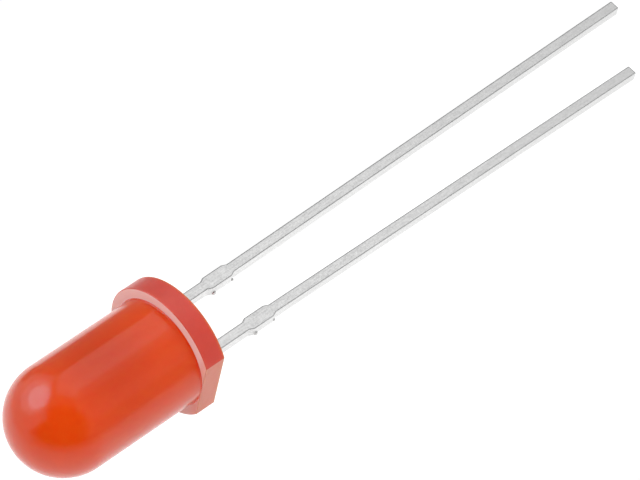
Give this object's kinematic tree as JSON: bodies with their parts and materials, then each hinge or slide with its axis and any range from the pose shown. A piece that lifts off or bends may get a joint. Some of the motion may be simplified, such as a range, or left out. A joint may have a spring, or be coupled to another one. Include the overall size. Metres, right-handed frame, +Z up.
{
  "type": "through hole led",
  "caption": "Round diffused indicator LED with a domed red lens, a flange with one flat, and straight parallel leads of different length, lying on its side.",
  "frame": {"origin": "where the lens's axis meets the underside of the flange, the face that seats on a board or spacer", "axes": "+X along the leads, away from the dome and 5.8 degrees below it, +Y from the cathode to the anode, +Z up; the LED lies as it rests on its flange's rim and on its two lead tips"},
  "size_m": [0.036, 0.0055, 0.006],
  "materials": {
    "red_epoxy": "gloss",
    "tinned_lead": "satin",
    "die": "satin",
    "silver_adhesive": "matte",
    "gold_wire": "polished"
  },
  "bodies": {
    "root": {"lens_body": "red_epoxy", "anode_lead": "tinned_lead", "cathode_lead": "tinned_lead", "led_die": "die", "die_attach": "silver_adhesive", "bond_wire": "gold_wire"}
  },
  "joints": []
}
